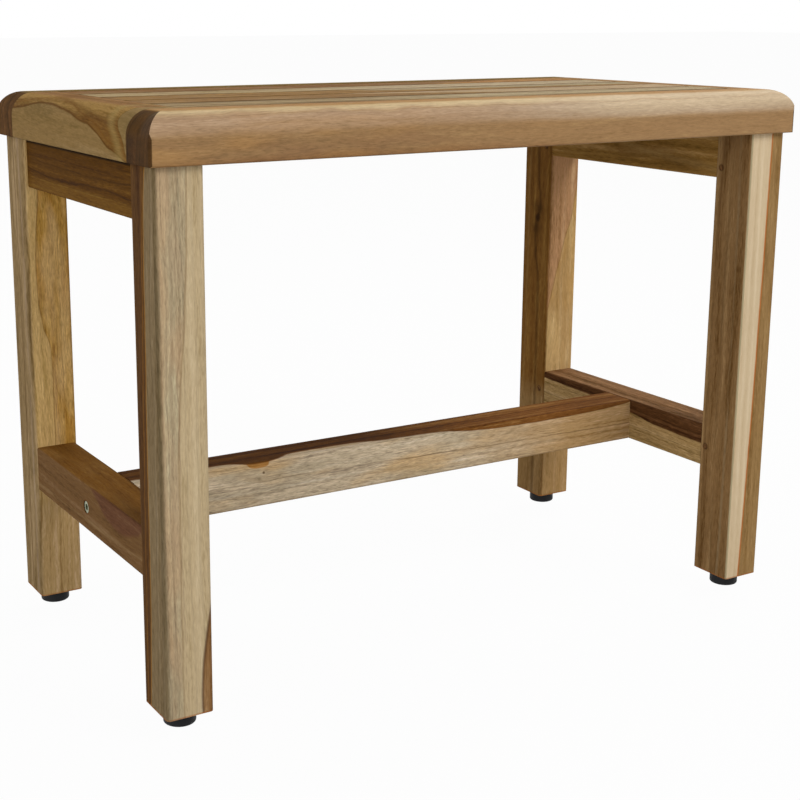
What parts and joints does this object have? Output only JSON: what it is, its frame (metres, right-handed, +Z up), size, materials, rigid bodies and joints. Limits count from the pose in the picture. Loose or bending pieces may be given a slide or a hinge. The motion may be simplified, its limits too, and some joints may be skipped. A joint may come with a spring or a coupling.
{
  "type": "shower bench",
  "caption": "Free-standing wooden bath bench: slatted seat in a rounded frame on square legs, pegged aprons and end stretchers, a long tie stretcher and screw-in feet.",
  "frame": {"origin": "on the floor under the middle of the seat, where the foot pads rest when they are screwed right in", "axes": "+X runs along the bench to its right end as seen from the front, +Y to its back, +Z up"},
  "size_m": [0.606, 0.33, 0.457],
  "materials": {
    "teak_front_rail": "planed and sanded teak heartwood, pinkish tan",
    "teak_end_rail": "planed and sanded teak with an olive sapwood flank",
    "teak_slat": "planed and sanded teak, light tan with grey streaks",
    "teak_batten": "planed teak, red brown",
    "teak_leg_pale": "planed and sanded teak, pale grey beige",
    "teak_leg_golden": "planed and sanded teak, golden brown with sapwood stripes",
    "teak_apron": "planed and sanded teak heartwood, dark brown",
    "teak_end_stretcher": "planed and sanded teak, red brown",
    "teak_long_stretcher": "planed and sanded teak, pale face under a dark top",
    "peg_wood": "turned hardwood",
    "zinc_steel": "zinc plated",
    "brass": "turned brass",
    "foot_plastic": "moulded, black, matt"
  },
  "bodies": {
    "bench": {"seat_rail_front": "teak_front_rail", "seat_rail_back": "teak_front_rail", "seat_end_rail_left": "teak_end_rail", "seat_end_rail_right": "teak_end_rail", "seat_slat_1": "teak_slat", "seat_slat_2": "teak_slat", "seat_slat_3": "teak_slat", "seat_slat_4": "teak_slat", "seat_slat_5": "teak_slat", "seat_batten": "teak_batten", "leg_front_left": "teak_leg_pale", "leg_front_right": "teak_leg_golden", "leg_back_left": "teak_leg_golden", "leg_back_right": "teak_leg_golden", "apron_left": "teak_apron", "apron_right": "teak_apron", "end_stretcher_left": "teak_end_stretcher", "end_stretcher_right": "teak_end_stretcher", "long_stretcher": "teak_long_stretcher", "apron_pegs": "peg_wood", "stretcher_pegs": "peg_wood", "seat_dowels": "peg_wood", "stretcher_dowels": "peg_wood", "batten_screws": "zinc_steel", "stretcher_bolts": "zinc_steel", "barrel_nuts": "zinc_steel", "seat_bolts": "zinc_steel", "seat_bolt_washers": "zinc_steel", "seat_inserts": "brass", "foot_inserts": "brass"},
    "stem_front_left": {"foot_stem_front_left": "zinc_steel"},
    "pad_front_left": {"foot_pad_front_left": "foot_plastic"},
    "stem_front_right": {"foot_stem_front_right": "zinc_steel"},
    "pad_front_right": {"foot_pad_front_right": "foot_plastic"},
    "stem_back_left": {"foot_stem_back_left": "zinc_steel"},
    "pad_back_left": {"foot_pad_back_left": "foot_plastic"},
    "stem_back_right": {"foot_stem_back_right": "zinc_steel"},
    "pad_back_right": {"foot_pad_back_right": "foot_plastic"}
  },
  "joints": [
    {"name": "foot_front_left_drop", "type": "slide", "parent": "bench", "child": "stem_front_left", "axis": [0, 0, -1], "range_m": [0, 0.01]},
    {"name": "foot_front_left_turn", "type": "hinge", "parent": "stem_front_left", "child": "pad_front_left", "pos_m": [-0.279, -0.138, 0.006], "axis": [0, 0, -1], "range_deg": [0, 2880]},
    {"name": "foot_front_right_drop", "type": "slide", "parent": "bench", "child": "stem_front_right", "axis": [0, 0, -1], "range_m": [0, 0.01]},
    {"name": "foot_front_right_turn", "type": "hinge", "parent": "stem_front_right", "child": "pad_front_right", "pos_m": [0.279, -0.138, 0.006], "axis": [0, 0, -1], "range_deg": [0, 2880]},
    {"name": "foot_back_left_drop", "type": "slide", "parent": "bench", "child": "stem_back_left", "axis": [0, 0, -1], "range_m": [0, 0.01]},
    {"name": "foot_back_left_turn", "type": "hinge", "parent": "stem_back_left", "child": "pad_back_left", "pos_m": [-0.279, 0.138, 0.006], "axis": [0, 0, -1], "range_deg": [0, 2880]},
    {"name": "foot_back_right_drop", "type": "slide", "parent": "bench", "child": "stem_back_right", "axis": [0, 0, -1], "range_m": [0, 0.01]},
    {"name": "foot_back_right_turn", "type": "hinge", "parent": "stem_back_right", "child": "pad_back_right", "pos_m": [0.279, 0.138, 0.006], "axis": [0, 0, -1], "range_deg": [0, 2880]}
  ],
  "couplings": [
    {"joint": "foot_front_left_turn", "follows": "foot_front_left_drop", "rad_per_m": 5026.5},
    {"joint": "foot_front_right_turn", "follows": "foot_front_right_drop", "rad_per_m": 5026.5},
    {"joint": "foot_back_left_turn", "follows": "foot_back_left_drop", "rad_per_m": 5026.5},
    {"joint": "foot_back_right_turn", "follows": "foot_back_right_drop", "rad_per_m": 5026.5}
  ]
}
